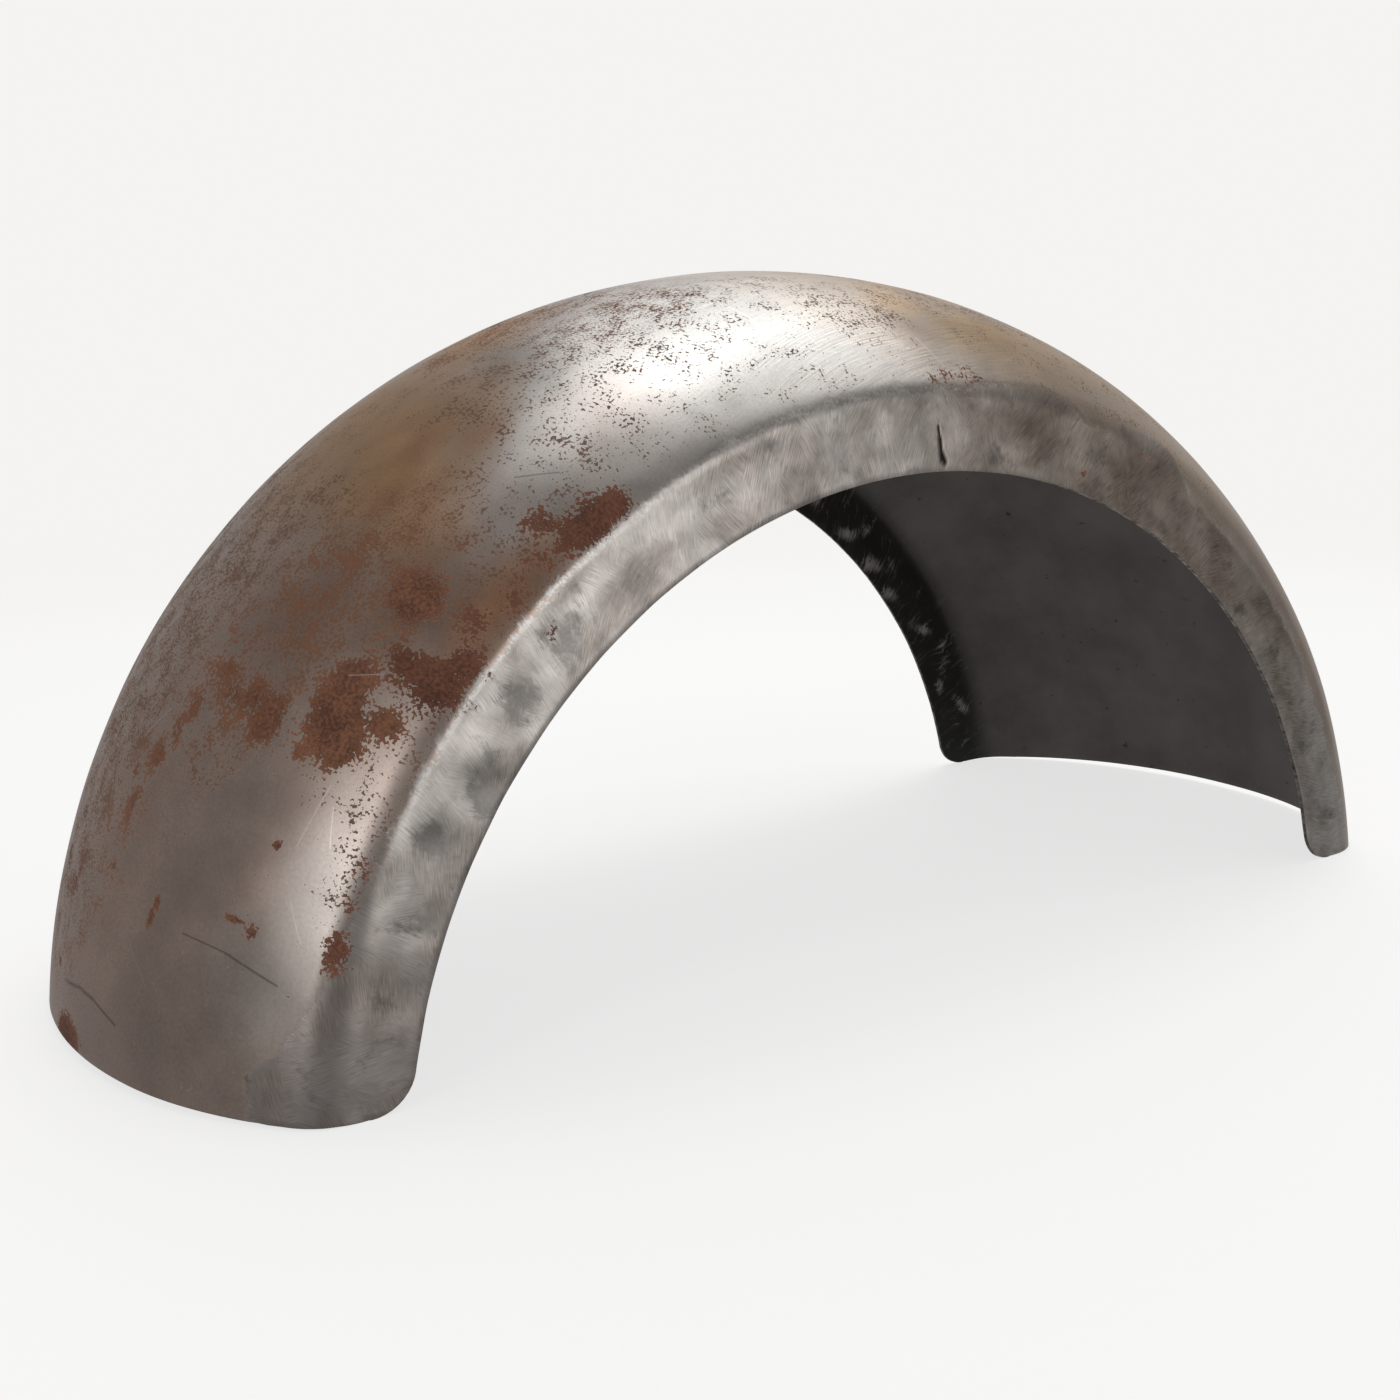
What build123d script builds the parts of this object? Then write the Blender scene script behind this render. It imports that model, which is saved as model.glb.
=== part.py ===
"""Motorcycle rear fender: one hand-formed steel sheet that arches over a wide rear tyre.

A flat sheet is rolled to the wheel's curve, its crown is wheeled to a soft arch across the width, and its
long sides are turned down and shrunk into flanges.  Flange edges and ends are then trimmed, the ends almost
level and with rounded flange tips.  The shell is one piece with no holes, ready for brackets.

The frame: X runs along the bike, Y across it and Z is up.  The origin is on the floor that the four flange
tips stand on, half way between the ends and on the centre plane.  The wheel's axle line is parallel to Y
and lies below the origin.  Lengths are in millimetres and angles in degrees.
"""

import os
from math import asin, cos, degrees, radians, sin

from build123d import *

# The arch, seen from the side
CROWN_RADIUS = 340.0  # axle line to the top of the crown, outside
SECTION_DEPTH = 90.0  # crown top to flange edge, measured towards the axle
END_OFFSET = 24.0  # axle line to the line of each end cut
END_RAKE = 2.6  # how far each end cut drops from the crown to the flange tip
CORNER_RADIUS = 18.0  # rounding of the four flange tips

# The section, seen along the bike
OVERALL_WIDTH = 288.0  # outside of one flange to outside of the other
SHEET = 2.0  # thickness of the steel
CROWN_ARC = 246.0  # radius of the gentle arch over the middle of the crown
CROWN_SPAN = 15.0  # angle that this arch covers on each side of the centre plane
HAUNCH_ARC = 172.0  # tighter radius between the crown and the shoulder
SHOULDER_ARC = 28.0  # radius that turns the sheet down into the flange

# The blank, before its trim
TRIM_ALLOWANCE = 12.0  # spare sheet that the trim takes off

half_width = OVERALL_WIDTH / 2
blank_half_width = half_width + TRIM_ALLOWANCE
tip_radius = CROWN_RADIUS - SECTION_DEPTH
blank_edge = tip_radius - TRIM_ALLOWANCE
blank_crown = CROWN_RADIUS + TRIM_ALLOWANCE

# The haunch ends where the shoulder has just the room that it needs to reach the overall width
haunch_reach = half_width - SHOULDER_ARC - (CROWN_ARC - HAUNCH_ARC) * sin(radians(CROWN_SPAN))
haunch_end = degrees(asin(haunch_reach / (HAUNCH_ARC - SHOULDER_ARC)))

# The flange tips stand on the floor: a tip's lowest point is one corner radius below its corner's centre
corner_reach = tip_radius + CORNER_RADIUS
corner_bearing = radians(END_RAKE) + asin((END_OFFSET + CORNER_RADIUS) / corner_reach)
tip_above_axle = corner_reach * sin(corner_bearing) - CORNER_RADIUS
axle_point = (0, 0, -tip_above_axle)

# The lines of the two end cuts meet above the axle, on the centre line of the side view
cut_meeting = END_OFFSET / cos(radians(END_RAKE))

axle = Axis(axle_point, (0, 1, 0))
level_section = Plane(origin=axle_point, x_dir=(0, 1, 0), z_dir=(0, 0, 1))
side_view = Plane(origin=axle_point, x_dir=(1, 0, 0), z_dir=(0, -1, 0)).offset(-blank_half_width)


def half_skin(inset):
    """Draws half of one skin of the sheet, from the crown's middle to the untrimmed flange edge."""
    crown = JernArc((0, CROWN_RADIUS - inset), (1, 0), CROWN_ARC - inset, -CROWN_SPAN)
    haunch = JernArc(crown @ 1, crown % 1, HAUNCH_ARC - inset, CROWN_SPAN - haunch_end)
    shoulder = JernArc(haunch @ 1, haunch % 1, SHOULDER_ARC - inset, haunch_end - 90)
    Line(shoulder @ 1, (half_width - inset, blank_edge))


with BuildPart() as fender_shell:
    # The blank: the sheet's section, drawn with the axle line as x axis, swung half a turn over the wheel
    with BuildSketch(level_section):
        with BuildLine():
            half_skin(0)
            half_skin(SHEET)
            Line((0, CROWN_RADIUS), (0, CROWN_RADIUS - SHEET))
            Line((half_width, blank_edge), (half_width - SHEET, blank_edge))
        make_face()
        mirror(about=Plane.YZ)
    revolve(axis=axle, revolution_arc=180)

    # The trim: the side outline is a ring from flange edge to crown, cut off by the two raked ends
    with BuildSketch(side_view) as outline:
        Circle(blank_crown)
        Circle(tip_radius, mode=Mode.SUBTRACT)
        with BuildLine():
            right_cut = PolarLine((0, cut_meeting), 2 * blank_crown, END_RAKE)
            left_cut = PolarLine((0, cut_meeting), 2 * blank_crown, 180 - END_RAKE)
            Polyline(right_cut @ 1, (0, 2 * blank_crown), left_cut @ 1)
        make_face(mode=Mode.INTERSECT)
        fillet(outline.vertices().sort_by_distance((0, 0, 0))[:2], CORNER_RADIUS)
    extrude(amount=2 * blank_half_width, mode=Mode.INTERSECT)

fender_shell.part.label = "fender_shell"

os.makedirs("parts", exist_ok=True)
export_step(fender_shell.part, "parts/fender_shell.step")
print("size", fender_shell.part.bounding_box(), "volume", round(fender_shell.part.volume))
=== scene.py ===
from math import asin, atan2, cos, hypot, pi, radians, sin, tan

import bpy
import numpy as np
from mathutils import Matrix, Vector


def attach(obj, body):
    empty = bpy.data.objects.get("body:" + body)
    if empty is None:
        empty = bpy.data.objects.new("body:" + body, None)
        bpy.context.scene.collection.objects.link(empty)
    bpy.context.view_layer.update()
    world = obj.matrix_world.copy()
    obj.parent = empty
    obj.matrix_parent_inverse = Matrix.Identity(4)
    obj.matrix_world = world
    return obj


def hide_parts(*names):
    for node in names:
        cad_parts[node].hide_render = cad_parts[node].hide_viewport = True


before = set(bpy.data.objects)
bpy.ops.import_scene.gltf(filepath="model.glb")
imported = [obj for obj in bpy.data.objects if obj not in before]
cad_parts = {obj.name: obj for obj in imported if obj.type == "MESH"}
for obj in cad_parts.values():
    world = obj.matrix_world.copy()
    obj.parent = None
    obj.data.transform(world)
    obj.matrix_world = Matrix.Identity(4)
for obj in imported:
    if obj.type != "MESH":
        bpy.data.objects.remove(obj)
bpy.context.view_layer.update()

# ------------------------------------------------------------
# The shell: one sheet of bare steel, 2 mm thick, rolled to the wheel's curve and wheeled to a crown.
# Its long sides are turned down along a crease, hammered to shrink them, and ground into flanges.
# ------------------------------------------------------------
AXLE_Z = -0.0359638  # the axle line of the wheel, below the floor
CROWN_RADIUS = 0.340
SHEET = 0.002
CROWN_ARC = 0.246
CROWN_SPAN = radians(15)
HAUNCH_ARC = 0.172
SHOULDER_ARC = 0.028
BEND_LINE = radians(70)  # the shoulder stops at the crease that the flange is ground up to
HALF_WIDTH = 0.144
FLANGE_EDGE = 0.250  # axle line to flange edge
END_OFFSET = 0.024
END_RAKE = radians(2.6)
TIP_RADIUS = 0.018
TIP_CUTS = 9  # short straight cuts that round one flange tip
FLANGE_STEPS = 8
ARCH_STEPS = 300
WELD = 0.0001  # points closer than this are one

haunch_reach = HALF_WIDTH - SHOULDER_ARC - (CROWN_ARC - HAUNCH_ARC) * sin(CROWN_SPAN)
haunch_end = asin(haunch_reach / (HAUNCH_ARC - SHOULDER_ARC))
crown_centre = Vector((CROWN_RADIUS - CROWN_ARC, 0, AXLE_Z))
haunch_centre = crown_centre + Vector((cos(CROWN_SPAN), sin(CROWN_SPAN), 0)) * (CROWN_ARC - HAUNCH_ARC)
shoulder_centre = haunch_centre + Vector((cos(haunch_end), sin(haunch_end), 0)) * (HAUNCH_ARC - SHOULDER_ARC)
crease = shoulder_centre + Vector((cos(BEND_LINE), sin(BEND_LINE), 0)) * SHOULDER_ARC

# The section is drawn level with the axle at the front end, from the crown's middle to one flange edge.
bpy.ops.object.select_all(action="DESELECT")
bpy.ops.mesh.primitive_plane_add(size=0.01, location=(0, 0, 0))
shell = bpy.context.object
shell.name = "shell"
bpy.ops.object.mode_set(mode="EDIT")
bpy.ops.mesh.select_all(action="SELECT")
bpy.ops.mesh.merge(type="CENTER")
bpy.ops.transform.translate(value=(CROWN_RADIUS, 0, AXLE_Z))
for steps, turn, centre in (
    (16, CROWN_SPAN, crown_centre),
    (20, haunch_end - CROWN_SPAN, haunch_centre),
    (7, BEND_LINE - haunch_end, shoulder_centre),
    (4, pi / 2 - BEND_LINE, shoulder_centre),
):
    bpy.ops.mesh.spin(steps=steps, angle=turn, center=centre, axis=(0, 0, -1))
for _ in range(FLANGE_STEPS):
    bpy.ops.mesh.extrude_vertices_move(
        TRANSFORM_OT_translate={"value": ((FLANGE_EDGE - shoulder_centre.x) / FLANGE_STEPS, 0, 0)}
    )
bpy.ops.object.mode_set(mode="OBJECT")
mirror = shell.modifiers.new("other_half", "MIRROR")
mirror.use_axis = (False, True, False)
bpy.ops.object.modifier_apply(modifier=mirror.name)

# The whole section is swung over the wheel, half a turn in steps of 0.6 degrees.
bpy.ops.object.mode_set(mode="EDIT")
bpy.ops.mesh.select_all(action="SELECT")
bpy.ops.mesh.spin(steps=ARCH_STEPS, angle=pi, center=(0, 0, AXLE_Z), axis=(0, 1, 0))
bpy.ops.mesh.select_all(action="SELECT")
bpy.ops.mesh.remove_doubles(threshold=WELD)
bpy.ops.object.mode_set(mode="OBJECT")


def pick_faces(piece, wanted):
    """Selects the faces of a piece whose middle is wanted, and leaves the piece in edit mode."""
    bpy.ops.object.mode_set(mode="EDIT")
    bpy.ops.mesh.select_mode(type="FACE")
    bpy.ops.mesh.select_all(action="DESELECT")
    bpy.ops.object.mode_set(mode="OBJECT")
    for face in piece.data.polygons:
        face.select = wanted(face.center)
    bpy.ops.object.mode_set(mode="EDIT")


# Each end is trimmed along its raked line, then each flange tip is rounded by short straight cuts.
END_ROOM = 0.06  # height under which the end cuts lie
FLANGE_ROOM = 0.13  # width beyond which the flanges lie
TIP_ROOM = (0.008, 0.032)  # how near to a corner's middle its cuts reach, and how far
TIP_SPARE_TURN = 0.15
TIP_SPARE = 0.004
for end in (1, -1):
    cut_normal = Vector((end * sin(END_RAKE), 0, -cos(END_RAKE)))
    cut_place = Vector((0, 0, AXLE_Z)) - cut_normal * END_OFFSET
    pick_faces(shell, lambda c: c.x * end > 0 and c.z < END_ROOM)
    bpy.ops.mesh.bisect(plane_co=cut_place, plane_no=cut_normal, clear_outer=True)
    tip_bearing = END_RAKE + asin((END_OFFSET + TIP_RADIUS) / (FLANGE_EDGE + TIP_RADIUS))
    tip = Vector((end * cos(tip_bearing), 0, sin(tip_bearing))) * (FLANGE_EDGE + TIP_RADIUS)
    tip.z += AXLE_Z
    first = -pi / 2 + END_RAKE
    last = tip_bearing - pi
    for k in range(TIP_CUTS):
        bearing = first + (last - first) * (k + 0.5) / TIP_CUTS
        out = Vector((end * cos(bearing), 0, sin(bearing)))
        pick_faces(
            shell,
            lambda c: abs(c.y) > FLANGE_ROOM
            and (c - tip).x * end < TIP_SPARE
            and TIP_ROOM[0] < hypot(c.x - tip.x, c.z - tip.z) < TIP_ROOM[1]
            and first + TIP_SPARE_TURN > atan2(c.z - tip.z, (c.x - tip.x) * end) > last - TIP_SPARE_TURN,
        )
        bpy.ops.mesh.bisect(plane_co=tip + out * TIP_RADIUS, plane_no=out, clear_outer=True)
bpy.ops.mesh.select_all(action="SELECT")
bpy.ops.mesh.remove_doubles(threshold=2 * WELD)
bpy.ops.mesh.delete_loose()
bpy.ops.mesh.select_all(action="SELECT")
bpy.ops.mesh.normals_make_consistent(inside=False)
bpy.ops.object.mode_set(mode="OBJECT")

# The disc has ground the end of the shoulder flat, so that it meets the flange in a crease. The crease is
# sharp over most of the arch and runs out into the round shoulder near both ends.
CREASE_START, CREASE_STOP = -0.45, 0.47  # along the crown from its top
FADE_IN, FADE_OUT = 0.13, 0.1
for v in shell.data.vertices:
    radius = hypot(v.co.x, v.co.z - AXLE_Z)
    if radius < crease.x and abs(v.co.y) > crease.y - 0.001:
        along = CROWN_RADIUS * (pi / 2 - atan2(v.co.z - AXLE_Z, v.co.x))
        fade = min(max((along - CREASE_START) / FADE_IN, 0), 1)
        fade *= min(max((CREASE_STOP - along) / FADE_OUT, 0), 1)
        flat = crease.y + (HALF_WIDTH - crease.y) * (crease.x - radius) / (crease.x - FLANGE_EDGE)
        v.co.y += (flat * (1 if v.co.y > 0 else -1) - v.co.y) * fade * fade * (3 - 2 * fade)

# Hollows that the shrinking hammer left along both flanges, in millimetres: along the sheet, across it, half
# length, half width, turn in degrees, depth, and how much of its old grey skin the disc has left in it.
HOLLOWS = (
    (-436, -172, 20, 11, 20, 0.4, 0.4), (-398, -177, 14, 9, -30, 0.3, 0.4), (-357, -175, 16, 11, 40, 0.6, 1),
    (-325, -184, 20, 12, 15, 0.7, 1), (-281, -177, 17, 12, -15, 0.5, 1), (-246, -176, 18, 13, 25, 0.6, 1),
    (-225, -166, 6, 5, 0, 0.3, 0.8), (-196, -182, 16, 8, 0, 0.3, 0.3), (-132, -172, 22, 9, 5, 0.4, 0.3),
    (-98, -165, 14, 5, -8, 0.4, 0.9), (-62, -181, 18, 8, 0, 0.3, 0.3), (45, -184, 15, 7, 0, 0.5, 0.5),
    (126, -172, 16, 8, -12, 0.4, 0.5), (172, -178, 20, 8, 10, 0.4, 0.3), (232, -174, 18, 9, -8, 0.4, 0.3),
    (283, -183, 9, 6, 30, 0.5, 0.8), (329, -180, 9, 7, 0, 0.5, 0.8), (404, -183, 14, 6, 0, 0.5, 0.8),
    (455, -174, 16, 10, 25, 0.4, 0.4), (-444, 176, 19, 11, -20, 0.5, 0.6), (-388, 181, 15, 9, 10, 0.5, 0.3),
    (-338, 173, 17, 10, 30, 0.4, 0.3), (-284, 181, 18, 11, 0, 0.6, 0.7), (-226, 175, 19, 12, -15, 0.5, 0.7),
    (-160, 182, 15, 8, 0, 0.4, 0.3), (-98, 174, 20, 9, 8, 0.5, 0.3), (-30, 180, 15, 8, -10, 0.4, 0.5),
    (36, 173, 18, 9, 0, 0.4, 0.3), (90, 182, 14, 8, 15, 0.5, 0.3), (152, 176, 17, 11, -20, 0.5, 0.7),
    (218, 173, 19, 9, 0, 0.4, 0.3), (268, 182, 17, 11, 0, 0.6, 0.7), (322, 175, 16, 10, 20, 0.5, 0.3),
    (380, 183, 13, 7, 0, 0.4, 0.3), (440, 175, 18, 11, -25, 0.5, 0.6),
)
haunch_start = CROWN_ARC * CROWN_SPAN
shoulder_start = haunch_start + HAUNCH_ARC * (haunch_end - CROWN_SPAN)
crease_across = shoulder_start + SHOULDER_ARC * (BEND_LINE - haunch_end)
for along, across, long, wide, turn, depth, left in HOLLOWS:
    bearing = pi / 2 - along / 1000 / CROWN_RADIUS
    radius = crease.x - (abs(across) / 1000 - crease_across)
    side = 1 if across > 0 else -1
    spot = Vector((radius * cos(bearing), side * HALF_WIDTH, AXLE_Z + radius * sin(bearing)))
    bpy.ops.object.mode_set(mode="EDIT")
    bpy.ops.mesh.select_mode(type="VERT")
    bpy.ops.mesh.select_all(action="DESELECT")
    bpy.ops.object.mode_set(mode="OBJECT")
    min(shell.data.vertices, key=lambda v: (v.co - spot).length_squared).select = True
    bpy.ops.object.mode_set(mode="EDIT")
    bpy.ops.transform.translate(
        value=(0, -side * depth / 1000, 0),
        use_proportional_edit=True,
        proportional_edit_falloff="SMOOTH",
        proportional_size=(long + wide) / 2000,
    )
    bpy.ops.object.mode_set(mode="OBJECT")

# The wheeled crown is a little uneven, and the ground flanges more so, which makes the reflections wander.
flanges = shell.vertex_groups.new(name="flanges")
below_crease = crease.x - 0.002
low = [v.index for v in shell.data.vertices if hypot(v.co.x, v.co.z - AXLE_Z) < below_crease]
flanges.add(low, 1.0, "REPLACE")
for name, span, height, group in (("wheeled", 0.06, 0.0007, ""), ("ground", 0.016, 0.0007, "flanges")):
    waves = bpy.data.textures.new(name, "CLOUDS")
    waves.noise_scale = span
    waves.noise_depth = 1
    uneven = shell.modifiers.new(name, "DISPLACE")
    uneven.texture = waves
    uneven.texture_coords = "LOCAL"
    uneven.strength = height
    uneven.mid_level = 0.5
    uneven.vertex_group = group
    bpy.ops.object.modifier_apply(modifier=uneven.name)


def put(tree, kind, inputs=None, **settings):
    """Adds a node with its settings, and sets or links its inputs by name or number.

    By number, a range has its value at 0, the ends that come in at 1 and 2, and those that go out at 3 and 4. A mix
    has its share at 0, and what it mixes at 2 and 3, or for colours at 6 and 7.
    """
    new = tree.nodes.new(kind)
    for key, value in settings.items():
        setattr(new, key, value)
    for key, value in (inputs or {}).items():
        if isinstance(value, bpy.types.NodeSocket):
            tree.links.new(value, new.inputs[key])
        else:
            new.inputs[key].default_value = value
    return new


def linear(hex_colour):
    """Turns an sRGB hex colour into linear red, green, blue and alpha."""
    parts = [int(hex_colour[k : k + 2], 16) / 255 for k in (1, 3, 5)]
    return [c / 12.92 if c <= 0.04045 else ((c + 0.055) / 1.055) ** 2.4 for c in parts] + [1.0]


# The sheet gets its thickness inwards, and its cut edges are broken with a file.
wall = shell.modifiers.new("wall", "SOLIDIFY")
wall.thickness = SHEET
wall.offset = -1
wall.use_even_offset = True
wall.material_offset = 1
wall.material_offset_rim = 2
rim = shell.modifiers.new("rim", "BEVEL")
rim.width = SHEET / 5
rim.segments = 2
rim.limit_method = "ANGLE"
rim.angle_limit = radians(60)
for finish in ("bare_sheet_steel_satin", "mill_scale_steel_black", "sheet_edge_filed"):
    shell.data.materials.append(bpy.data.materials.new(finish))
bpy.ops.object.modifier_apply(modifier=wall.name)
bpy.ops.object.modifier_apply(modifier=rim.name)
bpy.ops.object.shade_smooth_by_angle(angle=radians(40))

# The finish follows the flat sheet: millimetres along the crown from its top, and across from the centre line.
# Each mark below is a touch of a brush there: along, across, half length, half width, turn in degrees, weight.
count = len(shell.data.vertices)
spots = np.zeros(count * 3, np.float32)
shell.data.vertices.foreach_get("co", spots)
x, y, z = spots.reshape(-1, 3).T
radius = np.hypot(x, z - AXLE_Z)
width = np.abs(y)
crown_turn = np.arctan2(width, radius - crown_centre.x)
haunch_turn = np.arctan2(width - haunch_centre.y, radius - haunch_centre.x)
shoulder_turn = np.arctan2(width - shoulder_centre.y, radius - shoulder_centre.x)
across = np.where(
    radius < crease.x,
    crease_across + crease.x - radius,
    np.where(
        crown_turn < CROWN_SPAN,
        CROWN_ARC * crown_turn,
        np.where(
            haunch_turn < haunch_end,
            haunch_start + HAUNCH_ARC * (haunch_turn - CROWN_SPAN),
            shoulder_start + SHOULDER_ARC * (shoulder_turn - haunch_end),
        ),
    ),
)
along = 1000 * CROWN_RADIUS * (pi / 2 - np.arctan2(z - AXLE_Z, x))
across = 1000 * across * np.where(y < 0, -1, 1)


def brush(touches, firm=1.0):
    """Gives each point of the sheet the strongest touch: its weight in the middle, 0 at its edge, below 0 beyond."""
    strongest = np.full(count, -1.0)
    for u, v, long, wide, turn, weight in touches:
        du, dv = along - u, across - v
        c, s = cos(radians(turn)), sin(radians(turn))
        inside = 1 - np.hypot((du * c + dv * s) / long, (dv * c - du * s) / wide)
        strongest = np.maximum(strongest, np.where(inside > 0, weight * np.minimum(firm * inside, 1), inside))
    return strongest


def keep(name, kind, values):
    """Keeps a value for each point of the sheet, for the materials to read."""
    layer = shell.data.attributes.new(name, kind, "POINT")
    part = {"FLOAT": "value", "FLOAT_VECTOR": "vector", "FLOAT_COLOR": "color"}[kind]
    layer.data.foreach_set(part, np.asarray(values, np.float32).ravel())


keep("sheet_mm", "FLOAT_VECTOR", np.stack([along, across, 0 * along], -1))


def laid(clean, films):
    """Gives the tone of films laid over a clean colour one after the other: colour, strength and touches of each."""
    tone = np.tile(linear(clean), (count, 1))
    for colour, strength, touches in films:
        share = np.clip(brush(touches), 0, 1)
        share = strength * share * (2 - share)
        tone += (np.array(linear(colour)) - tone) * share[:, None]
    return tone


# Tone of the bare metal: films of rust and oil over the clean steel.
FILMS = (
    ("#cfcdc9", 1.0, (  # clean steel at the top
        (-70, -100, 140, 74, 0, 1),
    )),
    ("#d6beb1", 1.0, (  # a thin reddish film at the left end
        (-430, -10, 270, 330, 0, 1), (-300, -40, 100, 130, 0, 0.8),
    )),
    ("#d0b597", 1.0, (  # a thin tan film at the right end
        (170, -70, 230, 130, 0, 1), (90, -115, 90, 56, 0, 1), (330, 40, 260, 260, 0, 1),
    )),
    ("#cda47b", 1.0, (  # dried oil
        (-212, -42, 62, 62, 0, 1), (-228, -62, 44, 50, 0, 1), (-205, -4, 80, 56, 0, 1),
        (-150, -2, 60, 40, 10, 0.9), (-243, -92, 30, 34, 0, 0.7), (30, 60, 90, 60, 20, 0.7),
        (190, 95, 90, 50, -15, 0.7),
    )),
    ("#9c7459", 0.8, (  # brown film between the rust patches
        (-270, -118, 46, 40, 0, 0.7), (-285, -88, 66, 44, -15, 0.42), (-250, -95, 36, 30, -30, 0.3),
        (240, 130, 50, 24, 0, 0.5),
    )),
    ("#cf9468", 0.8, (  # orange film
        (-250, -148, 56, 16, 0, 0.8), (-130, 4, 32, 16, 8, 0.6),
    )),
    ("#957b63", 0.6, (  # grey-brown smears
        (-196, -84, 40, 20, 40, 0.9), (-162, -56, 40, 18, 42, 0.6), (16, -118, 20, 28, 0, 0.4),
        (-330, 110, 60, 30, 10, 0.6),
    )),
    ("#a8765a", 0.5, (  # red-brown smears
        (-210, -66, 22, 13, 10, 0.9), (-238, -76, 20, 11, 0, 0.8), (-194, -84, 15, 9, 0, 0.7),
        (-228, -91, 16, 9, 0, 0.7),
    )),
    ("#d0ac7c", 0.7, (  # yellow film
        (26, -94, 24, 18, 0, 0.7), (60, -112, 40, 24, 20, 0.7), (46, -64, 40, 18, 20, 0.5),
    )),
    ("#cbc1ba", 1.0, (  # wiped steel
        (-400, -143, 66, 26, 0, 1), (-168, -114, 54, 26, 0, 0.9),
    )),
    ("#e8e2dc", 0.9, (  # steel painted lighter, a painted highlight where the crown's highlight spreads
        (-180, -110, 34, 20, 30, 0.9), (-134, -78, 38, 22, 30, 0.7),
    )),
    ("#cfc5bc", 1.0, (  # wiped steel, duller
        (-440, -128, 40, 26, 30, 0.6),
    )),
)
keep("tone", "FLOAT_COLOR", laid("#d0c7c0", FILMS))

# Tone of the ground band: fresh over the left half, duller at the tips and over the right half.
DULL = (
    ("#c3b9b3", 1.0, (  # the tips
        (-470, -150, 90, 90, 0, 1), (-470, 170, 90, 60, 0, 1),
    )),
    ("#b6a99d", 1.0, (  # the right half
        (190, -178, 240, 60, 0, 1), (90, -170, 100, 50, 0, 0.8), (200, 175, 200, 50, 0, 1),
    )),
    ("#a09488", 0.8, (  # along the crease
        (60, -168, 30, 10, 0, 0.7), (150, -168, 40, 12, 0, 0.8), (290, -170, 60, 12, 0, 0.6),
    )),
)
keep("ground_tone", "FLOAT_COLOR", laid("#cdc6c0", DULL))

# Rust patches, the darker ones along the crease and the more orange ones above it.
DARK_RUST = (
    (-298, -148, 18, 15, 0, 1.1), (-295, -133, 11, 12, 0, 0.8), (-284, -152, 13, 11, 0, 0.8),
    (-200, -151, 23, 13, 0, 1.1), (-212, -140, 11, 13, 30, 0.55), (-186, -153, 12, 9, 0, 0.9),
    (-222, -148, 15, 8, 0, 0.3), (-266, -147, 18, 11, 0, 0.3), (-246, -151, 16, 8, 0, 0.3),
    (-414, -155, 13, 8, 0, 0.9), (-395, -156, 12, 6, 0, 0.35), (-379, -156, 12, 6, 0, 0.35),
    (-492, -6, 10, 19, 0, 1.4), (26, -157, 5, 6, 0, 0.5), (30, -150, 5, 4, 0, 0.3), (160, -163, 8, 4, 0, 0.5),
    (128, -163, 18, 3, 0, 0.3), (-247, -171, 7, 5, 40, 0.8), (-424, 34, 15, 11, 0, 0.2),
    (-426, 14, 16, 15, 0, 0.25), (-318, 150, 18, 9, 0, 0.7), (-300, 143, 12, 12, 30, 0.5),
    (-288, 152, 16, 7, 0, 0.6), (-160, 154, 14, 7, 0, 0.5), (-148, 147, 10, 8, 20, 0.4),
)
ORANGE_RUST = (
    (-327, -120, 22, 17, 20, 1.4), (-312, -117, 17, 12, 0, 1.1), (-337, -126, 14, 13, 0, 1.1),
    (-321, -138, 9, 11, 0, 0.9), (-339, -92, 17, 12, 0, 1), (-334, -80, 13, 12, 0, 0.75),
    (-336, -68, 12, 12, 0, 0.6), (-328, -58, 13, 10, 0, 0.5), (-270, -120, 18, 16, 0, 1.2),
    (-346, -112, 5, 4, 0, 0.5), (-416, -32, 10, 6, 0, 0.45), (-404, -18, 10, 7, 0, 0.45),
    (-390, -32, 12, 9, 0, 0.5), (-380, -24, 10, 8, 0, 0.45), (-370, -38, 12, 9, 0, 0.55),
    (-358, -44, 12, 9, 0, 0.5), (-347, -50, 12, 9, 0, 0.5), (-330, -52, 20, 16, 0, 0.2),
    (-300, -64, 26, 14, 0, 0.1), (-275, -72, 26, 14, 0, 0.1), (-256, -84, 24, 16, 0, 0.1),
    (-258, -102, 24, 18, 0, 0.12), (-285, -100, 26, 18, 0, 0.1), (-85, -58, 24, 22, 0, 0.1),
    (-110, -30, 20, 14, 0, 0.15), (-150, -6, 28, 10, 8, 0.1), (15, -149, 9, 4, 20, 0.4), (22, -152, 6, 5, 0, 0.5),
    (36, -40, 30, 10, 10, 0.1), (-310, 136, 20, 12, 20, 0.3), (400, 20, 20, 12, 20, 0.35),
    (384, 12, 12, 14, 0, 0.4), (412, 34, 12, 9, 40, 0.3),
)
SWING = 60  # how far the rust of the hidden side is moved along


def on_hidden_side(touches):
    """Gives the same touches for the hidden side, which has rusted in the same way near its other end."""
    return tuple((SWING - u, -v, long, wide, -turn, 0.9 * weight) for u, v, long, wide, turn, weight in touches)


DARK_RUST += on_hidden_side(touch for touch in DARK_RUST if -160 < touch[1] < -120)
ORANGE_RUST += on_hidden_side(touch for touch in ORANGE_RUST if touch[1] < -50)

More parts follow.
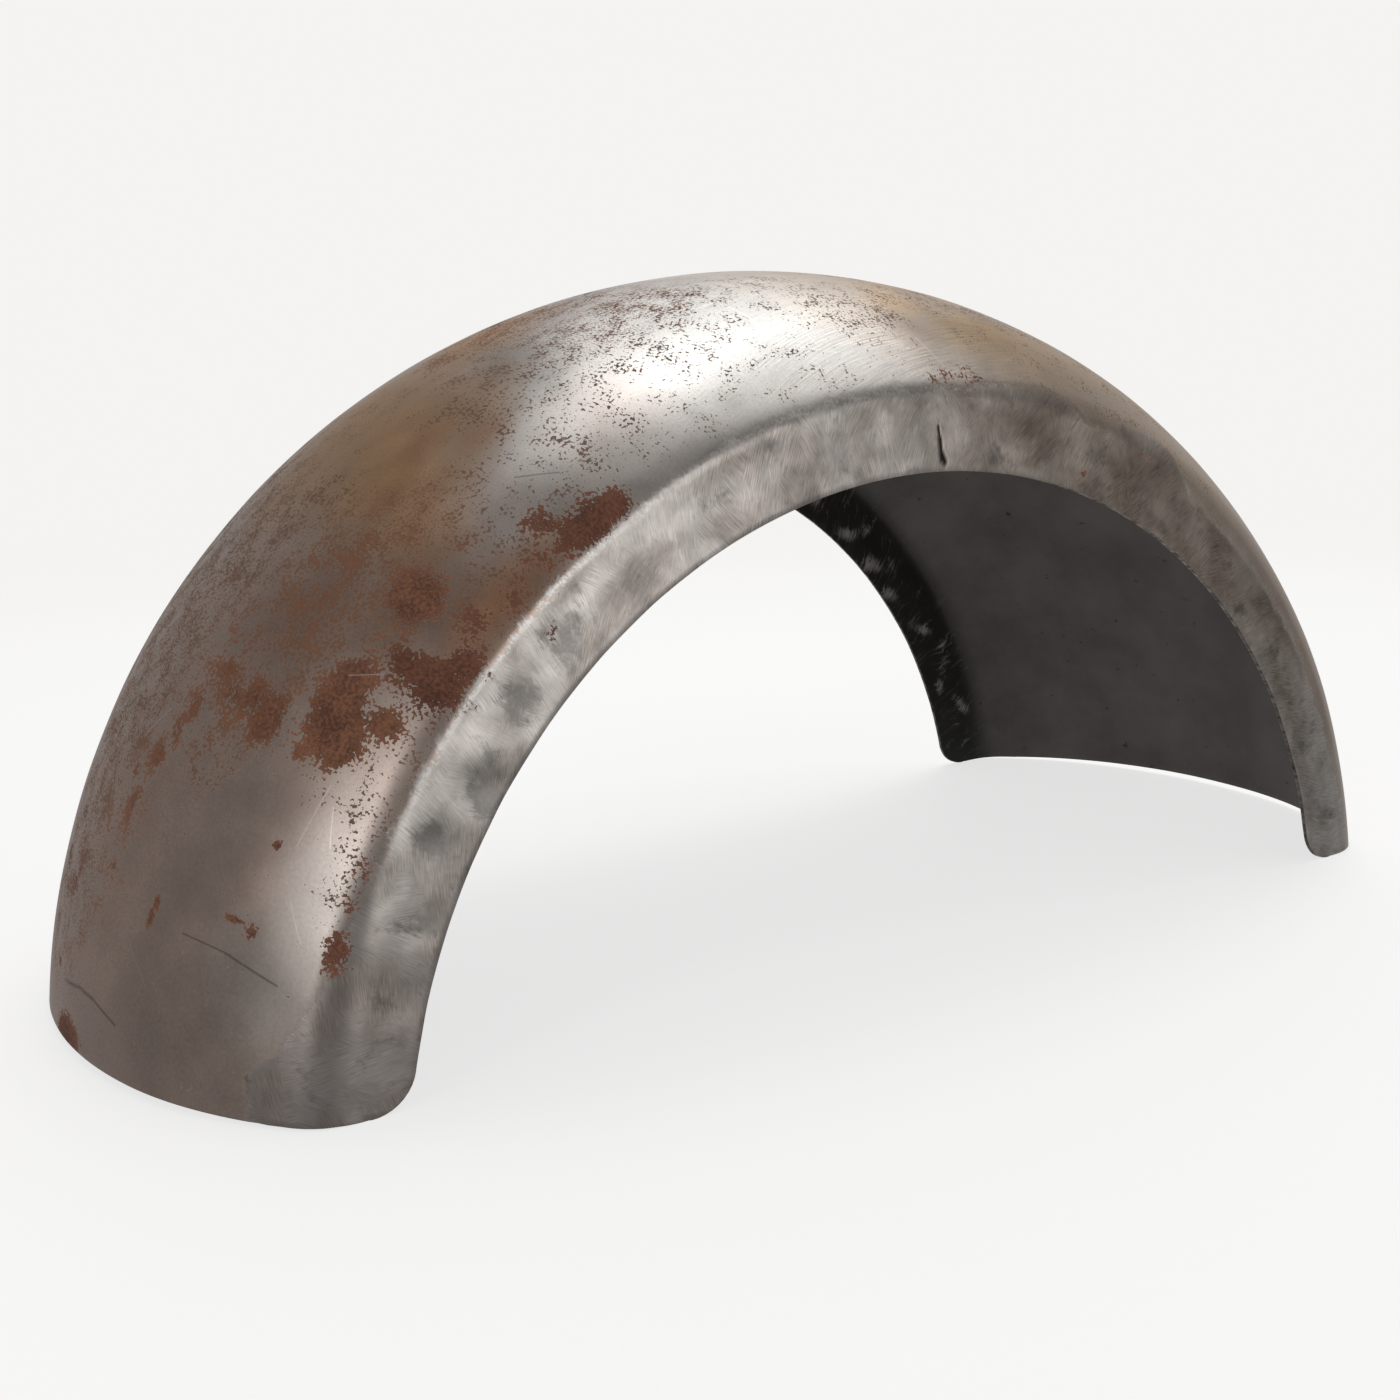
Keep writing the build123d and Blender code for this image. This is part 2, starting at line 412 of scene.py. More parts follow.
# How thickly fine rust specks lie, full over most of a touch.
FIRM = 2.2
SPECKS = (
    (-345, 0, 130, 70, 0, 0.95), (-300, 25, 120, 50, 0, 0.85), (-274, -42, 60, 56, 0, 0.95),
    (-430, 26, 60, 40, 0, 0.8), (-400, 0, 100, 60, 0, 0.8), (-335, -70, 56, 40, 0, 1.1),
    (-290, -85, 60, 50, 0, 1.15), (-240, -110, 44, 40, 0, 0.85), (-150, -66, 80, 56, -15, 0.85),
    (-84, -56, 44, 40, 0, 0.95), (-110, -90, 80, 44, 0, 0.75), (-185, -112, 70, 46, 0, 0.75),
    (-140, -138, 44, 22, 0, 0.7), (-10, -100, 46, 40, -10, 0.85), (-40, -70, 70, 46, 0, 0.7),
    (-300, -116, 90, 50, 0, 0.75), (-350, -150, 80, 16, 0, 0.85), (-250, -144, 80, 26, 0, 0.95),
    (-430, -90, 90, 76, 0, 0.25), (-120, -4, 80, 46, 0, 1.0), (120, -118, 110, 50, 0, 0.65),
    (20, -152, 30, 16, 0, 0.8), (70, -74, 90, 44, 10, 0.8), (-470, -60, 70, 120, 0, 0.3),
    (-60, -134, 90, 26, 0, 0.6), (-200, -30, 80, 60, 0, 0.45), (150, -150, 120, 16, 0, 0.65),
    (-250, 90, 150, 80, 0, 0.95), (-60, 60, 130, 70, 0, 0.8), (180, 60, 170, 90, 0, 0.8),
    (380, 30, 140, 130, 0, 0.95), (350, 110, 90, 50, 0, 1.0), (300, 145, 90, 20, 0, 0.9),
)
# Where a closer stipple of rust dulls the crown like a grain.
STIPPLE = (
    (-370, -5, 120, 72, 0, 1), (-310, 10, 120, 70, 0, 1), (-440, 10, 60, 50, 0, 0.9), (-285, -50, 56, 44, 0, 0.85),
    (-275, -82, 72, 46, -15, 0.9), (-300, -106, 46, 30, 0, 0.7), (-225, 5, 70, 44, 0, 0.5),
    (-112, -38, 90, 52, 0, 0.6), (-345, -62, 50, 34, 0, 0.7), (-230, 100, 140, 60, 0, 0.6),
    (200, 70, 150, 70, 0, 0.5), (390, 30, 120, 110, 0, 0.8),
)
keep("stipple", "FLOAT", np.clip(brush(STIPPLE, FIRM), 0, 1))
keep("specks", "FLOAT", np.clip(brush(SPECKS, FIRM), 0, 2))
dark_rust, orange_rust = brush(DARK_RUST), brush(ORANGE_RUST)
keep("rust", "FLOAT", np.maximum(dark_rust, orange_rust))
keep("rust_age", "FLOAT", np.clip(0.5 + 2 * (dark_rust - orange_rust), 0, 1))

# Where a sanding disc has also rubbed the crown, and where it has polished the crease, which is also painted bright
# there as a painted highlight.
RUBBED = (
    (-10, -130, 140, 34, 0, 1), (30, -95, 100, 44, -20, 0.55), (-60, -70, 80, 44, -20, 0.6),
    (100, 140, 120, 30, 0, 0.8),
)
POLISH_GLINT = (
    (-225, -160, 125, 8, 0, 1), (-195, -158, 50, 8, 0, 1), (-60, -157, 150, 8, 0, 0.5),
    (300, -162, 200, 8, 0, 0.3), (-330, -160, 60, 8, 0, 0.6), (60, 160, 300, 8, 0, 0.35),
)
# Painted shade: a dark line on the crown just above the crease, where the crease lies in shade.
CREASE_SHADE = (
    (-40, -156, 130, 30, 0, 1), (60, -152, 90, 30, 0, 0.9), (-420, -150, 60, 30, 0, 0.4),
    (0, 156, 200, 30, 0, 0.8),
)
keep("crease_shade", "FLOAT", np.clip(2 * brush(CREASE_SHADE), 0, 1))
keep("rubbed", "FLOAT", np.clip(brush(RUBBED), 0, 1))
keep("polish_glint", "FLOAT", np.clip(1.6 * brush(POLISH_GLINT), 0, 1))

# Distance from the line that the grinding disc stopped at, along both flanges. On the near one it is given by
# places along and across the sheet, and on the hidden one it wanders by some 3 mm.
DISC_LINE = (
    (-492, -129), (-477, -129), (-467, -132), (-460, -140), (-450, -146), (-435, -151), (-415, -154), (-390, -156),
    (-370, -159), (-340, -160), (-180, -160), (-120, -157), (20, -158), (40, -155), (60, -153), (80, -152),
    (96, -155), (108, -162), (120, -160), (140, -154), (160, -149), (180, -151), (194, -162), (204, -166),
    (300, -165), (410, -165), (492, -160),
)
near_line = np.interp(along, *zip(*DISC_LINE))
far_line = 160 + 1.8 * np.sin(along / 31) * np.sin(along / 83) + 1.2 * np.sin(along / 17 + 1)
keep("ground_mm", "FLOAT", np.where(across < 0, near_line - across, across - far_line))
missed = [(u, v, long, wide, turn, left) for u, v, long, wide, turn, depth, left in HOLLOWS]
keep("hollow", "FLOAT", np.clip(brush(missed), 0, 1))

# Inside, the disc only touched the flanges here and there.
INSIDE_TOUCHES = (
    (246, 183, 15, 6, -18, 1), (258, 173, 9, 6, 0, 0.6), (284, 184, 16, 7, -15, 1), (300, 175, 11, 5, 30, 0.6),
    (314, 187, 12, 6, -10, 1), (362, 178, 13, 5, -30, 1), (386, 171, 15, 4, 25, 0.5), (400, 174, 14, 5, 35, 0.5),
    (416, 182, 12, 4, 10, 0.8), (440, 169, 16, 5, -20, 0.8), (200, 178, 18, 7, 10, 0.8),
    (160, 184, 15, 6, -15, 0.9), (118, 176, 18, 6, 20, 0.7), (70, 183, 16, 7, 0, 1), (20, 177, 18, 6, -20, 0.8),
    (-36, 184, 15, 6, 10, 0.9), (-90, 175, 18, 6, 25, 0.7), (-140, 183, 16, 7, -10, 1),
    (-190, 177, 15, 6, 15, 0.8), (-248, 185, 16, 6, 0, 0.9), (-300, 175, 18, 7, -25, 0.8),
    (-352, 183, 15, 6, 10, 1), (-404, 177, 16, 6, -15, 0.8), (-450, 184, 12, 5, 0, 0.7),
)
turned_over = tuple((-u, -v, long, wide, turn, weight) for u, v, long, wide, turn, weight in INSIDE_TOUCHES)
keep("touched", "FLOAT", np.clip(brush(INSIDE_TOUCHES + turned_over), 0, 1))


def new_group(name, **inputs):
    """Starts a group of nodes with these inputs and one number as its output."""
    group = bpy.data.node_groups.new(name, "ShaderNodeTree")
    for socket, kind in inputs.items():
        group.interface.new_socket(socket, in_out="INPUT", socket_type="NodeSocket" + kind)
    group.interface.new_socket("Strength", in_out="OUTPUT", socket_type="NodeSocketFloat")
    return group, put(group, "NodeGroupInput").outputs


def emptied(owner):
    """Gives the node tree of a material or world, with nothing in it."""
    owner.use_nodes = True
    owner.node_tree.nodes.clear()
    return owner.node_tree


# A short mark with a soft edge, for blots that are finer than the mesh.
blot, given = new_group("blot", Place="Vector", Middle="Vector", Reach="Vector")
offset = put(blot, "ShaderNodeVectorMath", {0: given[0], 1: given[1]}, operation="SUBTRACT")
offset = put(blot, "ShaderNodeVectorMath", {0: offset.outputs[0], 1: given[2]}, operation="DIVIDE")
offset = put(blot, "ShaderNodeVectorMath", {0: offset.outputs[0]}, operation="LENGTH")
inside = put(blot, "ShaderNodeMath", {0: 1.0, 1: offset.outputs["Value"]}, operation="SUBTRACT")
put(blot, "NodeGroupOutput", {0: inside.outputs[0]})

SOFT = {"interpolation_type": "SMOOTHSTEP"}  # for a range with soft ends

# A straight scratch from one place to another.
scratch, given = new_group("scratch", Place="Vector", From="Vector", To="Vector", Width="Float")
reach = put(scratch, "ShaderNodeVectorMath", {0: given[0], 1: given[1]}, operation="SUBTRACT").outputs[0]
whole = put(scratch, "ShaderNodeVectorMath", {0: given[2], 1: given[1]}, operation="SUBTRACT").outputs[0]
ahead = put(scratch, "ShaderNodeVectorMath", {0: reach, 1: whole}, operation="DOT_PRODUCT").outputs["Value"]
square = put(scratch, "ShaderNodeVectorMath", {0: whole, 1: whole}, operation="DOT_PRODUCT").outputs["Value"]
share = put(scratch, "ShaderNodeMath", {0: ahead, 1: square}, operation="DIVIDE", use_clamp=True).outputs[0]
nearest = put(scratch, "ShaderNodeVectorMath", {0: whole, "Scale": share}, operation="SCALE").outputs[0]
away = put(scratch, "ShaderNodeVectorMath", {0: reach, 1: nearest}, operation="DISTANCE").outputs["Value"]
line = put(scratch, "ShaderNodeMapRange", {0: away, 1: 0.0, 2: given[3], 3: 1.0, 4: 0.0}, **SOFT)
put(scratch, "NodeGroupOutput", {0: line.outputs[0]})

# Strokes of a grinding disc: hairs about 9 mm long, at a turn from straight across the sheet.
# Real ones are about 0.2 mm apart: they are drawn twice as coarse so that they show.
HAIR_APART, HAIR_LONG = 0.4, 9
strokes, given = new_group("disc_strokes", Place="Vector", Turn="Float")
turned = put(strokes, "ShaderNodeVectorRotate", {"Vector": given[0], "Angle": given[1]},
             rotation_type="Z_AXIS").outputs[0]
hairs = put(strokes, "ShaderNodeVectorMath", {0: turned, 1: (1 / HAIR_APART, 1 / HAIR_LONG, 0)},
            operation="MULTIPLY").outputs[0]
hairs = put(strokes, "ShaderNodeTexNoise", {"Vector": hairs, "Scale": 1.0, "Detail": 1.5, "Roughness": 0.6},
            noise_dimensions="2D").outputs[0]
put(strokes, "NodeGroupOutput", {0: hairs})

# Bare sheet steel, rolled and wheeled to a satin grey: soft wide highlights, a brown and tan film where oil has
# dried, fine rust specks that gather into ragged patches, and a brighter band that a disc has ground.
tree = emptied(shell.data.materials[0])
place = put(tree, "ShaderNodeAttribute", attribute_name="sheet_mm").outputs["Vector"]
film = put(tree, "ShaderNodeAttribute", attribute_name="tone").outputs["Color"]
fresh_tone = put(tree, "ShaderNodeAttribute", attribute_name="ground_tone").outputs["Color"]
rust, specks, close, age, rubbed, crease_shade, polish_glint, ground, hollow = (
    put(tree, "ShaderNodeAttribute", attribute_name=name).outputs["Fac"]
    for name in ("rust", "specks", "stipple", "rust_age", "rubbed", "crease_shade", "polish_glint", "ground_mm", "hollow")
)

# Patterns, each with the size of its marks in millimetres, and some with their detail and roughness.
CLOUD, CLUMP, GRAIN = (32, 3.0, 0.55), (13, 4.0, 0.68), (1.6, 2.0, 0.6)
DRIFT, SWIPE_LONG, SWIPE_WIDE = 70, 34, 17
STROKE_BEND, SCRATCH_BEND = 12, 6
STIPPLE_APART = 1.1  # real specks are finer: these are drawn coarser so that they show
cloud, clump, grain = (
    put(tree, "ShaderNodeTexNoise", {"Vector": place, "Scale": 1 / size, "Detail": detail, "Roughness": rough},
        noise_dimensions="2D").outputs[0]
    for size, detail, rough in (CLOUD, CLUMP, GRAIN)
)
drift = put(tree, "ShaderNodeTexNoise", {"Vector": place, "Scale": 1 / DRIFT, "Detail": 0.0},
            noise_dimensions="2D").outputs[1]

# Disc strokes bend, and lie a few ways in swipes that run into each other: along the band only on its left half.
bent = put(tree, "ShaderNodeVectorMath", {0: drift, 1: (STROKE_BEND, STROKE_BEND, 0), 2: place},
           operation="MULTIPLY_ADD").outputs[0]
swipe = put(tree, "ShaderNodeVectorMath", {0: bent, 1: (1 / SWIPE_LONG, 1 / SWIPE_WIDE, 0)},
            operation="MULTIPLY").outputs[0]
swipe = put(tree, "ShaderNodeTexNoise", {"Vector": swipe, "Scale": 1.0, "Detail": 2.0, "Roughness": 0.5},
            noise_dimensions="2D").outputs[0]
ways = [
    put(tree, "ShaderNodeGroup", {"Place": bent, "Turn": turn}, node_tree=strokes).outputs[0]
    for turn in (0.8, 0.4, -0.4, 1.25)
]
which = put(tree, "ShaderNodeMapRange", {0: swipe, 1: 0.46, 2: 0.54}).outputs[0]
stroke = put(tree, "ShaderNodeMix", {0: which, 2: ways[0], 3: ways[1]}).outputs[0]
which = put(tree, "ShaderNodeMapRange", {0: cloud, 1: 0.54, 2: 0.6}).outputs[0]
stroke = put(tree, "ShaderNodeMix", {0: which, 2: stroke, 3: ways[2]}).outputs[0]
ahead = put(tree, "ShaderNodeSeparateXYZ", {0: place}).outputs[0]
leftish = put(tree, "ShaderNodeMapRange", {0: ahead, 1: -130.0, 2: -230.0}).outputs[0]
which = put(tree, "ShaderNodeMapRange", {0: swipe, 1: 0.5, 2: 0.42}).outputs[0]
which = put(tree, "ShaderNodeMath", {0: which, 1: leftish}, operation="MULTIPLY").outputs[0]
stroke = put(tree, "ShaderNodeMix", {0: which, 2: stroke, 3: ways[3]}).outputs[0]
stroke = put(tree, "ShaderNodeMapRange", {0: stroke, 1: 0.3, 2: 0.7, 3: -1.0, 4: 1.0}).outputs[0]

# The film is cloudy, with a fine grain, and is scored where the disc has rubbed it. The scoring is drawn coarser
# than the real one so that it shows.
clouded = put(tree, "ShaderNodeMapRange", {0: cloud, 1: 0.3, 2: 0.7, 3: 0.92, 4: 1.07}).outputs[0]
grained = put(tree, "ShaderNodeMapRange", {0: grain, 1: 0.2, 2: 0.8, 3: 0.9, 4: 1.1}).outputs[0]
scored = put(tree, "ShaderNodeVectorMath", {0: bent, "Scale": 0.4}, operation="SCALE").outputs[0]
scored = put(tree, "ShaderNodeGroup", {"Place": scored, "Turn": 1.3}, node_tree=strokes).outputs[0]
scored = put(tree, "ShaderNodeMapRange", {0: scored, 1: 0.3, 2: 0.7, 3: -1.0, 4: 1.0}).outputs[0]
swiped = put(tree, "ShaderNodeMapRange", {0: swipe, 1: 0.42, 2: 0.58, 3: 0.2, 4: 1.0}).outputs[0]
scored = put(tree, "ShaderNodeMath", {0: scored, 1: swiped}, operation="MULTIPLY").outputs[0]
scored = put(tree, "ShaderNodeMath", {0: scored, 1: rubbed}, operation="MULTIPLY").outputs[0]
scored = put(tree, "ShaderNodeMath", {0: scored, 1: 0.3, 2: grained}, operation="MULTIPLY_ADD").outputs[0]
shade = put(tree, "ShaderNodeMath", {0: clouded, 1: scored}, operation="MULTIPLY").outputs[0]

# The ground band stops at a ragged line, and misses the grey hollows.
STALE_TINT = (0.985, 0.945, 0.915)
stray = put(tree, "ShaderNodeMath", {0: clump, 1: 0.5}, operation="SUBTRACT").outputs[0]
ground_edge = put(tree, "ShaderNodeMath", {0: stray, 1: 9.0, 2: ground}, operation="MULTIPLY_ADD").outputs[0]
ground_edge = put(tree, "ShaderNodeMath", {0: stroke, 1: 0.8, 2: ground_edge}, operation="MULTIPLY_ADD").outputs[0]
# Painted shade: the crown just above the ragged line is darkened toward a dark brown along the crease.
painted_shade = put(tree, "ShaderNodeMapRange", {0: ground_edge, 1: -4.5, 2: -1.0}, **SOFT).outputs[0]
painted_shade = put(tree, "ShaderNodeMath", {0: painted_shade, 1: crease_shade}, operation="MULTIPLY").outputs[0]
painted_shade = put(tree, "ShaderNodeMath", {0: painted_shade, 1: 0.3}, operation="MULTIPLY").outputs[0]
crown = put(tree, "ShaderNodeVectorMath", {0: film, "Scale": shade}, operation="SCALE").outputs[0]
crown = put(tree, "ShaderNodeMix", {0: painted_shade, 6: crown, 7: linear("#6b5b4f")}, data_type="RGBA").outputs[2]
band = put(tree, "ShaderNodeMapRange", {0: ground_edge, 1: -1.0, 2: 1.0}, **SOFT).outputs[0]
missed = put(tree, "ShaderNodeMath", {0: stray, 1: 2.0, 2: hollow}, operation="MULTIPLY_ADD").outputs[0]
missed = put(tree, "ShaderNodeMath", {0: stroke, 1: -0.1, 2: missed}, operation="MULTIPLY_ADD").outputs[0]
missed = put(tree, "ShaderNodeMapRange", {0: missed, 1: 0.05, 2: 0.75}, **SOFT).outputs[0]
# Painted sheen: the band is painted lighter and darker in swipes and clumps, as steel ground different ways catches
# the light; the strokes over it are its grain.
lit = put(tree, "ShaderNodeMapRange", {0: swipe, 1: 0.3, 2: 0.7, 3: 0.8, 4: 1.34}).outputs[0]
lit = put(tree, "ShaderNodeMath", {0: stray, 1: 0.85, 2: lit}, operation="MULTIPLY_ADD").outputs[0]
crisp = put(tree, "ShaderNodeMapRange", {0: leftish, 3: 0.24, 4: 0.17}).outputs[0]
calm = put(tree, "ShaderNodeMapRange", {0: ahead, 1: -370.0, 2: -430.0, 3: 0.0, 4: 0.6}).outputs[0]
lit = put(tree, "ShaderNodeMix", {0: calm, 2: lit, 3: 1.06}).outputs[0]
lit = put(tree, "ShaderNodeMath", {0: stroke, 1: crisp, 2: lit}, operation="MULTIPLY_ADD").outputs[0]
bright = put(tree, "ShaderNodeVectorMath", {0: fresh_tone, "Scale": lit}, operation="SCALE").outputs[0]
warm = put(tree, "ShaderNodeVectorMath", {0: bright, 1: STALE_TINT}, operation="MULTIPLY").outputs[0]
stale = put(tree, "ShaderNodeMapRange", {0: swipe, 1: 0.56, 2: 0.36}).outputs[0]
bright = put(tree, "ShaderNodeMix", {0: stale, 6: bright, 7: warm}, data_type="RGBA").outputs[2]
sunk = put(tree, "ShaderNodeMath", {0: grained, 1: 0.54}, operation="MULTIPLY").outputs[0]
sunk = put(tree, "ShaderNodeVectorMath", {0: fresh_tone, "Scale": sunk}, operation="SCALE").outputs[0]
flange = put(tree, "ShaderNodeMix", {0: missed, 6: bright, 7: sunk}, data_type="RGBA").outputs[2]
metal = put(tree, "ShaderNodeMix", {0: band, 6: crown, 7: flange}, data_type="RGBA").outputs[2]

# Rust: specks where it is thin, ragged patches where it is thick, and blots smaller than a fingernail.
BLOTS = (
    ((-418, -120, 0), (4.6, 5.6, 1)), ((-415, -111, 0), (2, 7, 1)), ((-382, -119, 0), (3, 2.6, 1)),
    ((-427, -68, 0), (5.2, 3.6, 1)), ((-421, -70, 0), (4.4, 2.6, 1)), ((-467, 14, 0), (3.2, 3.6, 1)),
    ((114, -183, 0), (3, 2.8, 1)), ((-346, -112, 0), (4.6, 4, 1)),
)
blots = -1.0
for middle, reach in BLOTS:
    spot = put(tree, "ShaderNodeGroup", {"Place": place, "Middle": middle, "Reach": reach}, node_tree=blot).outputs[0]
    blots = put(tree, "ShaderNodeMath", {0: blots, 1: spot}, operation="MAXIMUM").outputs[0]
blots = put(tree, "ShaderNodeMath", {0: blots, 1: 0.7}, operation="MULTIPLY").outputs[0]
mixed = put(tree, "ShaderNodeMath", {0: clump, 1: 0.75, 2: grain}, operation="MULTIPLY_ADD").outputs[0]
dusted = put(tree, "ShaderNodeMath", {0: specks, 1: 0.34, 2: mixed}, operation="MULTIPLY_ADD").outputs[0]
dusted = put(tree, "ShaderNodeMath", {0: band, 1: -0.14, 2: dusted}, operation="MULTIPLY_ADD").outputs[0]
dusted = put(tree, "ShaderNodeMapRange", {0: dusted, 1: 1.22, 2: 1.32, 4: 0.9}, **SOFT).outputs[0]
stipple = put(tree, "ShaderNodeTexNoise", {"Vector": place, "Scale": 1 / STIPPLE_APART, "Detail": 1.0},
              noise_dimensions="2D").outputs[0]
stipple = put(tree, "ShaderNodeMath", {0: stray, 1: 0.7, 2: stipple}, operation="MULTIPLY_ADD").outputs[0]
stipple = put(tree, "ShaderNodeMapRange", {0: stipple, 1: 0.46, 2: 0.66, 3: 0.0, 4: 0.75}).outputs[0]
stipple = put(tree, "ShaderNodeMath", {0: stipple, 1: close}, operation="MULTIPLY").outputs[0]
dusted = put(tree, "ShaderNodeMath", {0: dusted, 1: stipple}, operation="MAXIMUM").outputs[0]
patch = put(tree, "ShaderNodeMath", {0: band, 1: -0.2, 2: rust}, operation="MULTIPLY_ADD").outputs[0]
patch = put(tree, "ShaderNodeMath", {0: patch, 1: blots}, operation="MAXIMUM").outputs[0]
patch = put(tree, "ShaderNodeMath", {0: stray, 1: 1.5, 2: patch}, operation="MULTIPLY_ADD").outputs[0]
patch = put(tree, "ShaderNodeMath", {0: grain, 1: 1.3, 2: patch}, operation="MULTIPLY_ADD").outputs[0]
eaten = put(tree, "ShaderNodeMapRange", {0: patch, 1: 0.84, 2: 0.97}, **SOFT).outputs[0]
young = put(tree, "ShaderNodeMapRange", {0: mixed, 1: 0.68, 2: 1.08}).outputs[0]
orange = put(tree, "ShaderNodeMix", {0: young, 6: linear("#5f3a2a"), 7: linear("#926145")},
             data_type="RGBA").outputs[2]
brown = put(tree, "ShaderNodeMix", {0: young, 6: linear("#54301f"), 7: linear("#80503a")},
            data_type="RGBA").outputs[2]
crust = put(tree, "ShaderNodeMix", {0: age, 6: orange, 7: brown}, data_type="RGBA").outputs[2]
dust = put(tree, "ShaderNodeMix", {0: age, 6: linear("#7f5539"), 7: linear("#6b4b36")}, data_type="RGBA").outputs[2]

# Scratches, some dark with dirt and some that show fresh metal, all a little crooked.
crooked = put(tree, "ShaderNodeVectorMath", {0: drift, 1: (SCRATCH_BEND, SCRATCH_BEND, 0), 2: place},
              operation="MULTIPLY_ADD").outputs[0]
crooked = put(tree, "ShaderNodeVectorMath", {0: crooked, 1: (SCRATCH_BEND / 2, SCRATCH_BEND / 2, 0)},
              operation="SUBTRACT").outputs[0]
DARK_SCRATCHES = (
    ((-471, 1, 0), (-468, -19, 0), 1.3), ((-468, -19, 0), (-469, -35, 0), 1.4),
    ((-469, -35, 0), (-474, -56, 0), 1.0), ((-428, -90, 0), (-430, -112, 0), 0.6),
    ((-430, -112, 0), (-435, -135, 0), 0.9), ((-204, -114, 0), (-191, -126, 0), 0.6),
    ((-20, -60, 0), (14, -66, 0), 0.4), ((-60, -40, 0), (-10, -52, 0), 0.4), ((40, -70, 0), (62, -78, 0), 0.5),
)
LIGHT_SCRATCHES = (
    ((-311, -114, 0), (-304, -128, 0), 0.4), ((-400, -133, 0), (-415, -141, 0), 0.5),
    ((-359, -136, 0), (-374, -141, 0), 0.5), ((-63, -76, 0), (-61, -98, 0), 0.5),
    ((-44, -94, 0), (-44, -129, 0), 0.4), ((13, -126, 0), (16, -149, 0), 0.7),
    ((-155, -83, 0), (-150, -94, 0), 0.6), ((-54, -126, 0), (-39, -134, 0), 0.5),
    ((-378, -128, 0), (-352, -131, 0), 0.5), ((-366, -22, 0), (-352, -34, 0), 0.6),
    ((-440, -60, 0), (-452, -74, 0), 0.4),
)
GOUGE = (
    ((2, -174, 0), (3, -180, 0), 1.6), ((3, -179, 0), (4, -187, 0), 2.8), ((4, -185, 0), (6, -188, 0), 3.6),
)


def deepest(scratches):
    """Gives the strongest of some scratches, each from one place to another and with a half width."""
    strongest = 0.0
    for start, stop, wide in scratches:
        mark = put(tree, "ShaderNodeGroup", {"Place": crooked, "From": start, "To": stop, "Width": wide},
                   node_tree=scratch).outputs[0]
        strongest = put(tree, "ShaderNodeMath", {0: strongest, 1: mark}, operation="MAXIMUM").outputs[0]
    return strongest


gouge = deepest(GOUGE)
dirty = put(tree, "ShaderNodeMath", {0: deepest(DARK_SCRATCHES), 1: 0.5}, operation="MULTIPLY").outputs[0]
fresh_and_glint = put(tree, "ShaderNodeMath", {0: deepest(LIGHT_SCRATCHES), 1: 0.4}, operation="MULTIPLY").outputs[0]
dirty = put(tree, "ShaderNodeMath", {0: dirty, 1: gouge}, operation="MAXIMUM").outputs[0]

# Where the disc has polished the crease, fresh metal shows in a broken line, painted brighter than the steel as a
# painted highlight of the crease catching the light.
line = put(tree, "ShaderNodeMath", {0: ground_edge}, operation="ABSOLUTE").outputs[0]
line = put(tree, "ShaderNodeMapRange", {0: line, 1: 0.6, 2: 2.6, 3: 1.0, 4: 0.0}, **SOFT).outputs[0]
chips = put(tree, "ShaderNodeMapRange", {0: mixed, 1: 0.8, 2: 0.98, 3: 0.2, 4: 1.0}).outputs[0]
line = put(tree, "ShaderNodeMath", {0: line, 1: chips}, operation="MULTIPLY").outputs[0]
line = put(tree, "ShaderNodeMath", {0: line, 1: polish_glint}, operation="MULTIPLY").outputs[0]
fresh_and_glint = put(tree, "ShaderNodeMath", {0: fresh_and_glint, 1: line}, operation="MAXIMUM").outputs[0]

# All of it together: clean metal shines, rust is dull, and the strokes, patches and gouge have a little relief.
colour = put(tree, "ShaderNodeMix", {0: dusted, 6: metal, 7: dust}, data_type="RGBA").outputs[2]
colour = put(tree, "ShaderNodeMix", {0: eaten, 6: colour, 7: crust}, data_type="RGBA").outputs[2]
colour = put(tree, "ShaderNodeMix", {0: dirty, 6: colour, 7: linear("#2e2622")}, data_type="RGBA").outputs[2]
# Fresh scratches show bright steel; the line along the crease is partly a painted highlight.
colour = put(tree, "ShaderNodeMix", {0: fresh_and_glint, 6: colour, 7: linear("#f2eee9")}, data_type="RGBA").outputs[2]
bare = put(tree, "ShaderNodeMath", {0: dusted, 1: -0.9, 2: 1.0}, operation="MULTIPLY_ADD").outputs[0]
bare = put(tree, "ShaderNodeMath", {0: eaten, 1: -1.0, 2: bare}, operation="MULTIPLY_ADD").outputs[0]
bare = put(tree, "ShaderNodeMath", {0: bare, 1: fresh_and_glint}, operation="MAXIMUM", use_clamp=True).outputs[0]
sheen = put(tree, "ShaderNodeMapRange", {0: cloud, 1: 0.3, 2: 0.7, 3: 0.32, 4: 0.4}).outputs[0]
sheen = put(tree, "ShaderNodeMix", {0: bare, 2: 0.75, 3: sheen}).outputs[0]
scoring = put(tree, "ShaderNodeMath", {0: rubbed, 1: 0.4}, operation="MULTIPLY").outputs[0]
scoring = put(tree, "ShaderNodeMath", {0: scoring, 1: band}, operation="MAXIMUM").outputs[0]
relief = put(tree, "ShaderNodeMath", {0: stroke, 1: scoring}, operation="MULTIPLY").outputs[0]
relief = put(tree, "ShaderNodeMath", {0: relief, 1: 0.004}, operation="MULTIPLY").outputs[0]
relief = put(tree, "ShaderNodeMath", {0: band, 1: -0.03, 2: relief}, operation="MULTIPLY_ADD").outputs[0]
relief = put(tree, "ShaderNodeMath", {0: eaten, 1: 0.04, 2: relief}, operation="MULTIPLY_ADD").outputs[0]
relief = put(tree, "ShaderNodeMath", {0: gouge, 1: -0.2, 2: relief}, operation="MULTIPLY_ADD").outputs[0]
bumps = put(tree, "ShaderNodeBump", {"Height": relief, "Distance": 0.001, "Strength": 1.0}).outputs[0]
surface = put(tree, "ShaderNodeBsdfPrincipled",
              {"Base Color": colour, "Metallic": bare, "Roughness": sheen, "Normal": bumps})
put(tree, "ShaderNodeOutputMaterial", {"Surface": surface.outputs[0]})

